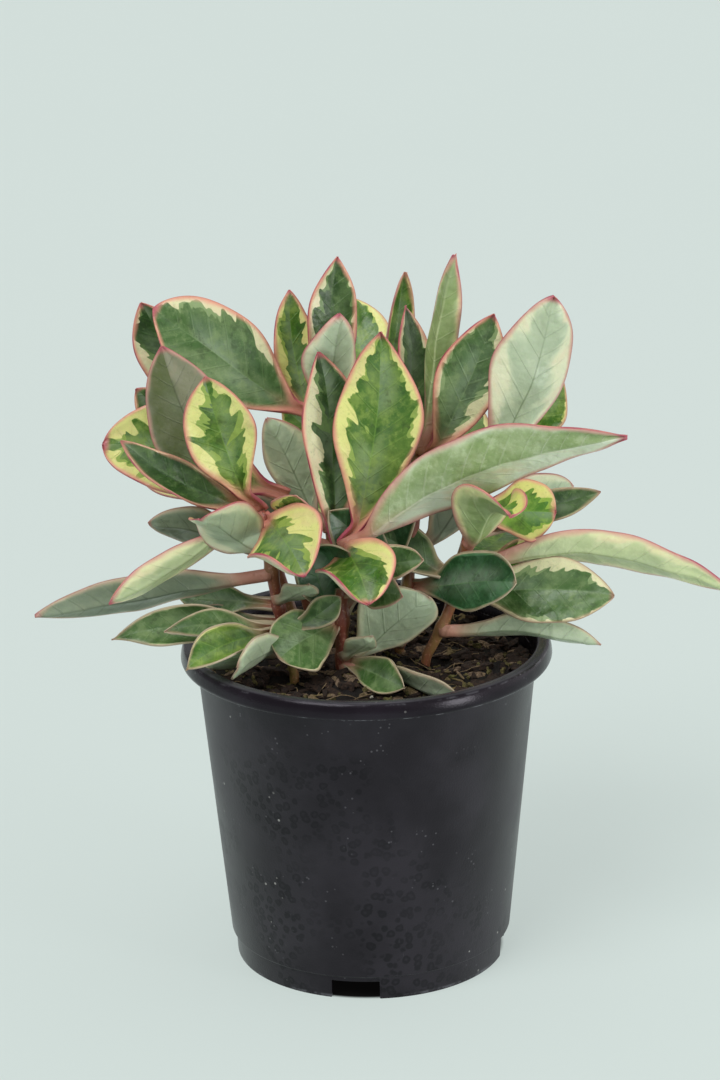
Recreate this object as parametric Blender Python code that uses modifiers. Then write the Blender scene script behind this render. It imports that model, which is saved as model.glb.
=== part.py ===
"""A potted peperomia: a nursery pot, its potting mix, fleshy stems and thick leaves.

Metres, +Z up, +Y to the back. The origin is on the pot's axis, on the surface it stands on.
Each leaf is given by the stem it grows from, how far up that stem, and where it points.
"""
import math

import bmesh
import bpy
from mathutils import Matrix, Vector
from mathutils.bvhtree import BVHTree

MM = 0.001
GAP = 0.3 * MM                     # clearance between pieces that touch

# Pot
POT_HEIGHT = 125 * MM
RIM_RADIUS = 70 * MM
RIM_BAND = 6.5 * MM                # height of the rim's outer face
RIM_LEDGE = 5 * MM                 # width of the rim's flat top
SHOULDER_RADIUS = 64 * MM          # body, just under the rim
BODY_FOOT_RADIUS = 53.5 * MM       # body, just above the skirt
SKIRT_RADIUS = 52 * MM
SKIRT_HEIGHT = 9 * MM
WALL = 1.4 * MM
CHANNEL_OUTER = 49 * MM            # drainage channel under the floor
CHANNEL_INNER = 30 * MM
CHANNEL_ROOF = 8 * MM
DISC_RADIUS = 28 * MM              # flat disc that the pot rests on
FLOOR = 2 * MM
POT_STEPS = 64
NOTCH_COUNT = 4
NOTCH_WIDTH = 18 * MM
NOTCH_HEIGHT = 7.2 * MM
FIRST_NOTCH = -97                  # degrees, a little left of the front

# Potting mix
MIX_CENTRE = 118.5 * MM            # height of the mix at the pot's axis
MIX_FALL = 2 * MM                  # how much lower it lies at the wall

# Leaves
LEAF_THICKNESS = 0.9 * MM
STALK_WIDTH = 3 * MM
STALK_SHARE = 0.14                 # part of a leaf's length that is stalk
TIP_WIDTH = 1.2 * MM
LEAF_ROWS = 10
LEAF_COLUMNS = 2
LOOK_UP = 25                       # degrees that an upper face tips towards the sky
NUDGE = 4                          # degrees, the step by which a leaf turns to clear its neighbours
NUDGES = 9

# name: foot x, foot y (mm), heading, lean at foot, lean at top (degrees), length, thickness (mm)
STEMS = {
    "centre": (-9, -12, 90, 2, 4, 46, 5.5),
    "left": (-28, -6, 180, 14, 4, 60, 5),
    "left_inner": (-18, 4, 180, 14, 4, 62, 4.5),
    "tall": (-10, 14, 180, 3, 5, 90, 5),
    "right": (12, 2, 0, 10, 2, 78, 5),
    "right_outer": (22, -8, 0, 30, 0, 72, 4.5),
    "back": (4, 30, 90, 8, 22, 80, 5),
    "back_left": (-26, 26, 150, 18, 30, 80, 4.5),
    "back_right": (30, 26, 40, 16, 30, 72, 4.5),
    "low_left": (-27, -22, 200, 10, 20, 20, 4),
}

# name, stem, place up the stem (0 to 1), heading, rise, length, width, look, droop, fold
# heading: 0 is to the right, 90 to the back. rise: above level. look: where the upper face turns.
LEAVES = [
    ("front_tall", "centre", 1.0, 10, 81, 82, 33, -90, 0, 10),
    ("tall_dark", "centre", 0.92, 120, 85, 76, 26, -75, 2, 20),
    ("long_right", "centre", 0.98, 350, 50, 116, 30, 90, 52, 12),
    ("front_droop", "centre", 1.0, 285, 18, 38, 30, -90, 60, 10),
    ("mid_leaf", "centre", 0.80, 325, 25, 34, 14, -90, 5, 12),
    ("small_green", "centre", 0.62, 315, 15, 30, 14, -90, 5, 12),
    ("dark_inner", "centre", 0.42, 195, 76, 34, 18, -70, 5, 10),
    ("green_round", "centre", 0.36, 226, -6, 29, 25, -80, 6, 8),
    ("yellow_left", "left", 1.0, 210, 74, 58, 27, -90, 4, 12),
    ("grey_left", "left", 0.90, 165, 52, 74, 31, 90, -26, 12),
    ("dark_blade", "left", 1.0, 205, 34, 56, 16, -70, 8, 18),
    ("yellow_wide", "left", 0.94, 290, 10, 42, 32, -100, 40, 10),
    ("curl_left", "left", 0.95, 200, -12, 62, 17, 110, 36, 14),
    ("pale_curl", "left", 0.76, 225, 42, 38, 27, 100, 5, 12),
    ("long_left", "left", 0.60, 190, -2, 85, 18, 100, 8, 14),
    ("left_sliver", "left", 0.36, 165, 2, 34, 13, -90, 5, 12),
    ("left_side", "left_inner", 1.0, 180, 22, 68, 34, -95, 4, 10),
    ("inner_fold", "left_inner", 0.85, 250, 40, 30, 18, -90, 10, 12),
    ("big_slanted", "tall", 1.0, 180, 42, 70, 34, -85, 5, 10),
    ("dark_top", "tall", 0.97, 60, 82, 62, 20, -80, 2, 10),
    ("pale_top", "tall", 0.97, 310, 80, 46, 21, 95, 2, 10),
    ("small_pointed", "tall", 0.90, 130, 79, 54, 17, -90, 2, 10),
    ("tall_tip", "right", 1.0, 20, 81, 76, 15, 50, 2, 16),
    ("right_green", "right", 0.95, 0, 68, 62, 25, -90, 4, 12),
    ("olive_right", "right", 0.90, 100, 80, 60, 17, -40, 2, 16),
    ("grey_brown", "right", 0.50, 10, 56, 36, 20, 90, 3, 10),
    ("cupped", "right_outer", 0.66, 296, 52, 38, 29, 105, 0, 18),
    ("dark_glossy", "right", 0.34, 328, 20, 48, 23, -85, 5, 10),
    ("pale_front", "centre", 0.06, 335, 46, 40, 31, 90, 0, 10),
    ("big_pale", "right_outer", 1.0, 15, 70, 74, 31, 100, 4, 10),
    ("thin_dark", "right_outer", 0.72, 14, 16, 48, 12, -90, 5, 14),
    ("bright_right", "right_outer", 0.84, 6, 2, 27, 24, -80, 5, 10),
    ("far_right", "right_outer", 0.55, 355, 12, 98, 19, 98, 38, 14),
    ("right_wide", "right_outer", 0.38, 350, 9, 56, 26, -92, 8, 12),
    ("low_right", "right_outer", 0.18, 345, 6, 57, 15, 98, 10, 14),
    ("lower_left", "low_left", 1.0, 184, 4, 58, 18, -90, 8, 12),
    ("green_blade", "low_left", 0.92, 222, 8, 42, 16, -100, 20, 12),
    ("pale_block", "low_left", 0.75, 240, 6, 26, 22, 95, 0, 10),
    ("left_back", "back_left", 1.0, 170, 64, 58, 24, -100, 2, 12),
    ("round_left", "back_left", 0.85, 175, 44, 46, 19, -95, 4, 10),
    ("back_sweep", "back_left", 0.60, 140, 20, 62, 26, -60, 20, 12),
    ("thin_blade", "back", 1.0, 0, 80, 58, 14, -60, 2, 16),
    ("back_rise", "back", 0.95, 100, 48, 56, 28, -90, 10, 12),
    ("back_spread", "back", 0.80, 60, 34, 64, 28, -110, 20, 12),
    ("back_low", "back", 0.45, 110, 12, 58, 24, -80, 20, 12),
    ("back_arch", "back_right", 1.0, 62, 30, 52, 26, -130, 14, 12),
    ("pale_back", "back_right", 0.55, 30, 16, 44, 23, 95, 8, 10),
    ("back_skirt", "back_right", 0.35, 65, 8, 54, 24, -110, 20, 12),
]


def material(name, color, roughness):
    mat = bpy.data.materials.new(name)
    mat.use_nodes = True
    shader = mat.node_tree.nodes["Principled BSDF"]
    shader.inputs["Base Color"].default_value = (*color, 1)
    shader.inputs["Roughness"].default_value = roughness
    shader.inputs["Metallic"].default_value = 0
    return mat


def direction(heading, rise):
    """Unit vector that points to a heading and a rise, both in degrees."""
    h, r = math.radians(heading), math.radians(rise)
    return Vector((math.cos(h) * math.cos(r), math.sin(h) * math.cos(r), math.sin(r)))


def new_object(name, data, mat, collection):
    obj = bpy.data.objects.new(name, data)
    data.materials.append(mat)
    collection.objects.link(obj)
    return obj


def turned(name, profile, mat, collection):
    """A profile of (radius, height) points, from the outside round to the axis, turned about Z."""
    mesh = bpy.data.meshes.new(name)
    edges = [(i, i + 1) for i in range(len(profile) - 1)]
    mesh.from_pydata([(radius, 0, height) for radius, height in profile], edges, [])
    obj = new_object(name, mesh, mat, collection)
    screw = obj.modifiers.new("turn", "SCREW")
    screw.steps = screw.render_steps = POT_STEPS
    screw.use_merge_vertices = True
    screw.merge_threshold = 0.00001
    return obj


def mix_height(radius):
    return MIX_CENTRE - MIX_FALL * (radius / SHOULDER_RADIUS) ** 2


def make_pot(parts, cutters):
    inner_top = RIM_RADIUS - RIM_LEDGE
    profile = [
        (0, FLOOR), (DISC_RADIUS - WALL, FLOOR), (CHANNEL_INNER - WALL, CHANNEL_ROOF + FLOOR),
        (BODY_FOOT_RADIUS - WALL - 1.5 * MM, CHANNEL_ROOF + FLOOR),
        (BODY_FOOT_RADIUS - WALL, CHANNEL_ROOF + FLOOR + 1.5 * MM),
        (SHOULDER_RADIUS - WALL, POT_HEIGHT - RIM_BAND), (inner_top - WALL, POT_HEIGHT),
        (RIM_RADIUS, POT_HEIGHT), (RIM_RADIUS, POT_HEIGHT - RIM_BAND),
        (SHOULDER_RADIUS, POT_HEIGHT - RIM_BAND), (BODY_FOOT_RADIUS, SKIRT_HEIGHT + 0.8 * MM),
        (SKIRT_RADIUS, SKIRT_HEIGHT), (SKIRT_RADIUS - 0.5 * MM, 0), (CHANNEL_OUTER, 0),
        (CHANNEL_OUTER, CHANNEL_ROOF), (CHANNEL_INNER, CHANNEL_ROOF), (DISC_RADIUS, 0), (0, 0),
    ]
    pot = turned("nursery_pot", profile, material("black_plastic", (0.02, 0.02, 0.023), 0.45), parts)
    bm = bmesh.new()
    for index in range(NOTCH_COUNT):
        turn = Matrix.Rotation(math.radians(FIRST_NOTCH + index * 360 / NOTCH_COUNT), 4, "Z")
        middle = Matrix.Translation(((CHANNEL_OUTER + SKIRT_RADIUS) / 2, 0, NOTCH_HEIGHT / 2 - 1 * MM))
        size = Matrix.Diagonal((8 * MM, NOTCH_WIDTH, NOTCH_HEIGHT + 2 * MM, 1))
        bmesh.ops.create_cube(bm, size=1, matrix=turn @ middle @ size)
    mesh = bpy.data.meshes.new("drain_notches")
    bm.to_mesh(mesh)
    bm.free()
    cutter = bpy.data.objects.new("drain_notches", mesh)
    cutters.objects.link(cutter)
    cutter.hide_render = True
    cutter.display_type = "WIRE"
    cut = pot.modifiers.new("notches", "BOOLEAN")
    cut.operation, cut.solver, cut.object = "DIFFERENCE", "EXACT", cutter
    return pot


def make_mix(parts):
    wall = WALL + GAP * 1.5
    rise = POT_HEIGHT - RIM_BAND - CHANNEL_ROOF - FLOOR - 1.5 * MM
    top_share = (mix_height(SHOULDER_RADIUS) - CHANNEL_ROOF - FLOOR - 1.5 * MM) / rise
    edge = BODY_FOOT_RADIUS + (SHOULDER_RADIUS - BODY_FOOT_RADIUS) * top_share - wall
    bed = FLOOR + GAP
    rings = [edge * share for share in (0, 0.35, 0.7)]
    profile = [(radius, mix_height(radius)) for radius in rings]
    profile += [
        (edge, mix_height(edge)), (BODY_FOOT_RADIUS - wall, CHANNEL_ROOF + FLOOR + 1.8 * MM),
        (BODY_FOOT_RADIUS - wall - 1.5 * MM, CHANNEL_ROOF + bed),
        (CHANNEL_INNER - WALL - 0.6 * MM, CHANNEL_ROOF + bed), (DISC_RADIUS - WALL - 0.6 * MM, bed),
        (0, bed),
    ]
    return turned("potting_mix", profile, material("bark_mix", (0.03, 0.018, 0.012), 0.95), parts)


def stem_point(stem, place):
    """Point and direction at a place from 0 to 1 up a stem, whose lean changes evenly."""
    x, y, heading, lean_foot, lean_top, length, thickness = STEMS[stem]
    dip = thickness / 2 * MM * math.sin(math.radians(lean_foot))
    point = Vector((x * MM, y * MM, mix_height(math.hypot(x, y) * MM) + GAP * 1.5 + dip))
    steps = 24
    for step in range(round(steps * place)):
        lean = lean_foot + (lean_top - lean_foot) * (step + 0.5) / steps
        point += direction(heading, 90 - lean) * (length * MM / steps)
    return point, direction(heading, 90 - (lean_foot + (lean_top - lean_foot) * place))


def make_stem(name, mat, parts):
    thickness = STEMS[name][6] * MM
    curve = bpy.data.curves.new("stem_" + name, "CURVE")
    curve.dimensions = "3D"
    curve.bevel_depth = thickness / 2
    curve.bevel_resolution = 2
    curve.use_fill_caps = True
    spline = curve.splines.new("POLY")
    places = [index / 6 for index in range(7)]
    spline.points.add(len(places) - 1)
    foot = stem_point(name, 0)[0]
    for point, place in zip(spline.points, places):
        point.co = (*(stem_point(name, place)[0] - foot), 1)
    obj = new_object("stem_" + name, curve, mat, parts)
    obj.location = foot
    return obj


def blade_width(share, width):
    """Width of a leaf at a share of its length: a narrow stalk, then an oval that ends in a point."""
    if share <= STALK_SHARE:
        return STALK_WIDTH
    along = (share - STALK_SHARE) / (1 - STALK_SHARE)
    oval = math.sin(math.pi * along ** 0.95) ** 0.8 if along < 1 else 0
    return max(width * oval, STALK_WIDTH * (1 - along) + TIP_WIDTH * along)


def leaf_mesh(row, turn, lift):
    """The closed thick sheet of one leaf, in world space, with its heading and rise nudged."""
    name, stem, place, heading, rise, length, width, look, droop, fold = row
    heading, rise = heading + turn, rise + lift
    node, _ = stem_point(stem, place)
    clear = STEMS[stem][6] / 2 * MM + LEAF_THICKNESS + STALK_WIDTH / 2
    point = node + direction(heading, 0) * clear
    bm = bmesh.new()
    bmesh.ops.create_grid(bm, x_segments=LEAF_ROWS, y_segments=LEAF_COLUMNS, size=0.5)
    rows = {}
    for vert in bm.verts:
        rows.setdefault(round((vert.co.x + 0.5) * LEAF_ROWS), []).append(vert)
    step = length * MM / LEAF_ROWS
    face = direction(look, LOOK_UP)
    for index in sorted(rows):
        share = index / LEAF_ROWS
        along = direction(heading, rise - droop * share)
        if index:
            point = point + along * step
        up = (face - along * face.dot(along)).normalized()
        side = up.cross(along)
        half = blade_width(share, width * MM) / 2
        for vert in rows[index]:
            across = vert.co.y * 2
            raised = abs(across) * half * math.sin(math.radians(fold))
            vert.co = point + side * across * half * math.cos(math.radians(fold)) + up * raised
    bmesh.ops.recalc_face_normals(bm, faces=bm.faces)
    bmesh.ops.solidify(bm, geom=bm.faces[:], thickness=LEAF_THICKNESS)
    bmesh.ops.recalc_face_normals(bm, faces=bm.faces)
    return bm


def tree_of(obj, depsgraph):
    """Search tree of an object's evaluated mesh in world space."""
    evaluated = obj.evaluated_get(depsgraph)
    bm = bmesh.new()
    bm.from_mesh(evaluated.to_mesh())
    bm.transform(obj.matrix_world)
    tree = BVHTree.FromBMesh(bm, epsilon=GAP)
    bm.free()
    return tree


def settle(row, placed):
    """Turn a leaf in small steps, sideways before up or down, until it clears what is placed."""
    steps = [NUDGE * index * sign for index in range(NUDGES) for sign in (1, -1)]
    tries = sorted(((turn, lift) for turn in steps for lift in steps),
                   key=lambda pair: abs(pair[0]) + 2 * abs(pair[1]))
    for turn, lift in tries:
        bm = leaf_mesh(row, turn, lift)
        low = min((vert.co.z for vert in bm.verts
                   if math.hypot(vert.co.x, vert.co.y) < SHOULDER_RADIUS), default=1)
        tree = BVHTree.FromBMesh(bm, epsilon=GAP)
        if low > MIX_CENTRE and not any(tree.overlap(other) for other in placed):
            return bm, tree
        bm.free()
    raise RuntimeError("no clear place for leaf " + row[0])


def make_leaf(row, mat, placed, parts):
    bm, tree = settle(row, placed)
    placed.append(tree)
    origin = stem_point(row[1], row[2])[0]
    bm.transform(Matrix.Translation(-origin))
    mesh = bpy.data.meshes.new("leaf_" + row[0])
    bm.to_mesh(mesh)
    bm.free()
    mesh.shade_smooth()
    obj = new_object("leaf_" + row[0], mesh, mat, parts)
    obj.location = origin
    return obj


def main():
    for obj in list(bpy.data.objects):
        bpy.data.objects.remove(obj, do_unlink=True)
    parts = bpy.data.collections.new("potted_peperomia")
    cutters = bpy.data.collections.new("cutters")
    for collection in (parts, cutters):
        bpy.context.scene.collection.children.link(collection)
    stem_material = material("fleshy_stem", (0.22, 0.06, 0.045), 0.5)
    leaf_material = material("waxy_leaf", (0.10, 0.22, 0.07), 0.4)
    solids = [make_pot(parts, cutters), make_mix(parts)]
    solids += [make_stem(name, stem_material, parts) for name in STEMS]
    bpy.context.view_layer.update()
    depsgraph = bpy.context.evaluated_depsgraph_get()
    placed = [tree_of(obj, depsgraph) for obj in solids]
    for row in LEAVES:
        make_leaf(row, leaf_material, placed, parts)


main()
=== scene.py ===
"""Potted peperomia: the fine shapes and finishes of the plant, its potting mix and its pot.

Metres, +Z up, +Y to the back. Leaves and stems follow the same rows as the construction model.
"""

import math
import random
from functools import partial

import bpy
from mathutils import Matrix, Vector, noise


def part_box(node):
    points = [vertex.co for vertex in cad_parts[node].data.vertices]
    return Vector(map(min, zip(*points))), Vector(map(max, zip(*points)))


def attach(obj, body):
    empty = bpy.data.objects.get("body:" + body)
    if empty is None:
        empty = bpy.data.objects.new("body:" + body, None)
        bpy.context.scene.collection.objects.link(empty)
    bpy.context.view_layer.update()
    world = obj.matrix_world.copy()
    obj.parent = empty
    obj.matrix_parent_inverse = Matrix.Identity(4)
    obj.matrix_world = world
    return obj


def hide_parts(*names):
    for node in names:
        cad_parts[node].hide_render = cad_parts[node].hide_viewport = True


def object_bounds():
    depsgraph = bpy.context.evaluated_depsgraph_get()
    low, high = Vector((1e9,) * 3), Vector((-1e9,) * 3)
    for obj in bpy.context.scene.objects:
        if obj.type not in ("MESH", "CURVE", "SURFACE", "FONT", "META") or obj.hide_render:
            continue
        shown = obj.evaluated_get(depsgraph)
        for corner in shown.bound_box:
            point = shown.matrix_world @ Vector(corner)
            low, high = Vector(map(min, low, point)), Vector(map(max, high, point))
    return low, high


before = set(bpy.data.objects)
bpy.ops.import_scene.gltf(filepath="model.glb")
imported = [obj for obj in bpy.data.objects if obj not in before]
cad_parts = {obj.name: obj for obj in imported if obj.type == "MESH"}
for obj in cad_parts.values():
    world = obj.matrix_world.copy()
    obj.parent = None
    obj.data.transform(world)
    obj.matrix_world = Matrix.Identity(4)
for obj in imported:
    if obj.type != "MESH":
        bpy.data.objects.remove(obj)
MODEL_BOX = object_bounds()

MM = 0.001
ORIGIN = (0, 0, 0)

# Pot and mix, as built
POT_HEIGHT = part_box("nursery_pot")[1].z
RIM_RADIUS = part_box("nursery_pot")[1].x
RIM_FOOT = POT_HEIGHT - 6.5 * MM
RIM_LEDGE = 5 * MM
SHOULDER_RADIUS = 64 * MM
BODY_FOOT_RADIUS = 53.5 * MM
SKIRT_RADIUS = 52 * MM
SKIRT_HEIGHT = 9 * MM
WALL = 1.4 * MM
CHANNEL_OUTER = 49 * MM
CHANNEL_INNER = 30 * MM
CHANNEL_ROOF = 8 * MM
DISC_RADIUS = 28 * MM
FLOOR_THICKNESS = 2 * MM
POT_SEGMENTS = 160
NOTCH_COUNT = 4
NOTCH_WIDTH = 18 * MM
NOTCH_HEIGHT = 7.2 * MM
FIRST_NOTCH = -97
MIX_CENTRE = 118.5 * MM
MIX_FALL = 2 * MM
MIX_RADIUS = 61.8 * MM
STREWN_RADIUS = 59.5 * MM
FIBRE_COUNT = 34
FIBRE_RADIUS = 0.22 * MM
FIBRE_STEP = 2.2 * MM
FIBRE_LIMIT = 58 * MM

# Loose matter: darkest, lightest and patch colour, size of its crumbs, roughness
MATTER = {
    # Peat and fine compost, kept damp: nearly black, with no shine.
    "damp_peat": ("#060404", "#1d140f", "#141306", 1.2 * MM, 0.95),
    # Chipped pine bark, still damp: dark brown flakes.
    "damp_bark": ("#0c0807", "#4a3528", "#2c2018", 1.5 * MM, 0.9),
    # The same bark, dried out on top: paler and greyer.
    "dry_bark": ("#33241a", "#b0967a", "#786a3c", 1.2 * MM, 0.9),
    # Bark crumbs grown over with moss: dull olive.
    "moss_on_bark": ("#2c2609", "#8a7f50", "#5f5f30", 0.7 * MM, 0.95),
    # Perlite, volcanic glass popped by heat: off-white and matt.
    "perlite_grains": ("#8f8b80", "#d8d5cb", "#b5ae9c", 0.8 * MM, 0.9),
    # Dead fibrous roots: straw-coloured threads.
    "dried_root": ("#6e5a42", "#b29a75", "#8f7b58", 1 * MM, 0.85),
}

# What lies on the mix: name, matter, shape and roughness of its crumb, how many, spans of their
# length, width and height (mm), how far they tip (radians), where their draw starts
LITTER = [
    ("damp_flakes", "damp_bark", 1, 0.25, 520, ((3, 9), (1.5, 4.5), (0.8, 2.6)), 0.8, 11),
    ("dry_flakes", "dry_bark", 4, 0.25, 210, ((3, 8), (1.4, 3.6), (0.5, 1.6)), 0.6, 15),
    ("bark_slivers", "dry_bark", 2, 0.15, 110, ((4, 11), (0.5, 1.1), (0.4, 0.9)), 0.5, 12),
    ("moss_crumbs", "moss_on_bark", 5, 0.3, 320, ((0.9, 3), (0.9, 2.6), (0.6, 1.8)), 0.9, 16),
    ("perlite", "perlite_grains", 3, 0.12, 26, ((1, 2), (1, 2), (0.8, 1.6)), 1.0, 13),
]

# Leaves
GAP = 0.3 * MM
LEAF_THICKNESS = 0.9 * MM
STALK_THICKNESS = 2.4 * MM
STALK_WIDTH = 3 * MM
STALK_SHARE = 0.14
TIP_WIDTH = 1.2 * MM
LOOK_UP = 25
NUDGE = 4
NUDGES = 9
CAD_ROWS = 10
BLANK_ROWS = 56
BLANK_COLUMNS = 18
JOINT_REACH = 9
SWELL = 1.6 * MM
STALK_DIP = 0.6 * MM
INSET = 0.7 * MM

# Stems are bent in short steps, and their feet go down into the mix
STEM_STEPS = 24
FOOT_SHARE = 0.02
FOOT_DEPTH = 2.5 * MM

# name: foot x, foot y (mm), heading, lean at foot, lean at top (degrees), length, thickness (mm)
STEMS = {
    "centre": (-9, -12, 90, 2, 4, 46, 5.5),
    "left": (-28, -6, 180, 14, 4, 60, 5),
    "left_inner": (-18, 4, 180, 14, 4, 62, 4.5),
    "tall": (-10, 14, 180, 3, 5, 90, 5),
    "right": (12, 2, 0, 10, 2, 78, 5),
    "right_outer": (22, -8, 0, 30, 0, 72, 4.5),
    "back": (4, 30, 90, 8, 22, 80, 5),
    "back_left": (-26, 26, 150, 18, 30, 80, 4.5),
    "back_right": (30, 26, 40, 16, 30, 72, 4.5),
    "low_left": (-27, -22, 200, 10, 20, 20, 4),
}

# name, stem, place up the stem (0 to 1), heading, rise, length, width, look, droop, fold
LEAVES = [
    ("front_tall", "centre", 1.0, 10, 81, 82, 33, -90, 0, 10),
    ("tall_dark", "centre", 0.92, 120, 85, 76, 26, -75, 2, 20),
    ("long_right", "centre", 0.98, 350, 50, 116, 30, 90, 52, 12),
    ("front_droop", "centre", 1.0, 285, 18, 38, 30, -90, 60, 10),
    ("mid_leaf", "centre", 0.80, 325, 25, 34, 14, -90, 5, 12),
    ("small_green", "centre", 0.62, 315, 15, 30, 14, -90, 5, 12),
    ("dark_inner", "centre", 0.42, 195, 76, 34, 18, -70, 5, 10),
    ("green_round", "centre", 0.36, 226, -6, 29, 25, -80, 6, 8),
    ("yellow_left", "left", 1.0, 210, 74, 58, 27, -90, 4, 12),
    ("grey_left", "left", 0.90, 165, 52, 74, 31, 90, -26, 12),
    ("dark_blade", "left", 1.0, 205, 34, 56, 16, -70, 8, 18),
    ("yellow_wide", "left", 0.94, 290, 10, 42, 32, -100, 40, 10),
    ("curl_left", "left", 0.95, 200, -12, 62, 17, 110, 36, 14),
    ("pale_curl", "left", 0.76, 225, 42, 38, 27, 100, 5, 12),
    ("long_left", "left", 0.60, 190, -2, 85, 18, 100, 8, 14),
    ("left_sliver", "left", 0.36, 165, 2, 34, 13, -90, 5, 12),
    ("left_side", "left_inner", 1.0, 180, 22, 68, 34, -95, 4, 10),
    ("inner_fold", "left_inner", 0.85, 250, 40, 30, 18, -90, 10, 12),
    ("big_slanted", "tall", 1.0, 180, 42, 70, 34, -85, 5, 10),
    ("dark_top", "tall", 0.97, 60, 82, 62, 20, -80, 2, 10),
    ("pale_top", "tall", 0.97, 310, 80, 46, 21, 95, 2, 10),
    ("small_pointed", "tall", 0.90, 130, 79, 54, 17, -90, 2, 10),
    ("tall_tip", "right", 1.0, 20, 81, 76, 15, 50, 2, 16),
    ("right_green", "right", 0.95, 0, 68, 62, 25, -90, 4, 12),
    ("olive_right", "right", 0.90, 100, 80, 60, 17, -40, 2, 16),
    ("grey_brown", "right", 0.50, 10, 56, 36, 20, 90, 3, 10),
    ("cupped", "right_outer", 0.66, 296, 52, 38, 29, 105, 0, 18),
    ("dark_glossy", "right", 0.34, 328, 20, 48, 23, -85, 5, 10),
    ("pale_front", "centre", 0.06, 335, 46, 40, 31, 90, 0, 10),
    ("big_pale", "right_outer", 1.0, 15, 70, 74, 31, 100, 4, 10),
    ("thin_dark", "right_outer", 0.72, 14, 16, 48, 12, -90, 5, 14),
    ("bright_right", "right_outer", 0.84, 6, 2, 27, 24, -80, 5, 10),
    ("far_right", "right_outer", 0.55, 355, 12, 98, 19, 98, 38, 14),
    ("right_wide", "right_outer", 0.38, 350, 9, 56, 26, -92, 8, 12),
    ("low_right", "right_outer", 0.18, 345, 6, 57, 15, 98, 10, 14),
    ("lower_left", "low_left", 1.0, 184, 4, 58, 18, -90, 8, 12),
    ("green_blade", "low_left", 0.92, 222, 8, 42, 16, -100, 20, 12),
    ("pale_block", "low_left", 0.75, 240, 6, 26, 22, 95, 0, 10),
    ("left_back", "back_left", 1.0, 170, 64, 58, 24, -100, 2, 12),
    ("round_left", "back_left", 0.85, 175, 44, 46, 19, -95, 4, 10),
    ("back_sweep", "back_left", 0.60, 140, 20, 62, 26, -60, 20, 12),
    ("thin_blade", "back", 1.0, 0, 80, 58, 14, -60, 2, 16),
    ("back_rise", "back", 0.95, 100, 48, 56, 28, -90, 10, 12),
    ("back_spread", "back", 0.80, 60, 34, 64, 28, -110, 20, 12),
    ("back_low", "back", 0.45, 110, 12, 58, 24, -80, 20, 12),
    ("back_arch", "back_right", 1.0, 62, 30, 52, 26, -130, 14, 12),
    ("pale_back", "back_right", 0.55, 30, 16, 44, 23, 95, 8, 10),
    ("back_skirt", "back_right", 0.35, 65, 8, 54, 24, -110, 20, 12),
]

# Small leaves low in the plant and between the larger ones
SMALL_LEAVES = [
    ("rim_green", "centre", 0.03, 303, 8, 36, 14, -90, 16, 14),
    ("rim_curled", "centre", 0.02, 318, 2, 52, 14, 100, 2, 14),
    ("yellow_stub", "right", 0.04, 262, 44, 24, 12, 120, 0, 14),
    ("second_sliver", "left", 0.26, 175, 0, 36, 12, -60, 4, 10),
    ("mid_left", "low_left", 0.96, 196, 14, 40, 11, -90, 12, 10),
    ("pale_low", "low_left", 0.55, 205, 8, 34, 15, 100, 6, 10),
    ("pale_three", "left", 0.42, 300, 30, 24, 14, 95, 0, 12),
    ("green_three", "low_left", 0.9, 5, 38, 22, 11, -90, 6, 12),
    ("round_sliver", "centre", 0.1, 300, 40, 22, 12, 100, 4, 10),
    ("upper_bit", "right", 0.84, 120, 66, 30, 15, -80, 4, 12),
    ("pink_edge", "back_right", 0.95, 20, 52, 36, 20, -60, 4, 12),
    ("pale_behind", "back_right", 0.30, 350, 10, 42, 26, -90, 10, 8),
    ("olive_bar", "tall", 0.42, 192, 36, 46, 19, 95, 12, 12),
    ("pale_upright", "tall", 0.48, 196, 70, 50, 20, 95, 0, 10),
    ("under_left", "left", 0.72, 172, 24, 42, 18, 95, 12, 10),
    ("left_tuck", "back_left", 0.72, 190, 36, 46, 22, 95, 6, 10),
    ("stem_fold", "right_outer", 0.46, 160, 34, 34, 18, -80, 6, 14),
    # The four heart leaves sit in the shade inside the plant; their dark tone is painted shade.
    ("dark_heart", "centre", 0.42, 60, 52, 40, 22, -80, 6, 10),
    ("heart_back", "tall", 0.36, 330, 48, 42, 22, -70, 10, 10),
    ("heart_left", "left_inner", 0.40, 300, 44, 38, 20, -80, 10, 10),
    ("heart_right", "right", 0.44, 200, 44, 36, 18, -100, 10, 10),
    ("back_fill", "back", 0.62, 160, 50, 46, 22, -80, 10, 12),
    ("back_tuck", "back_left", 0.40, 110, 30, 44, 20, -80, 16, 12),
    ("side_tuck", "back_right", 0.70, 100, 56, 44, 20, -80, 10, 12),
]

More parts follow.
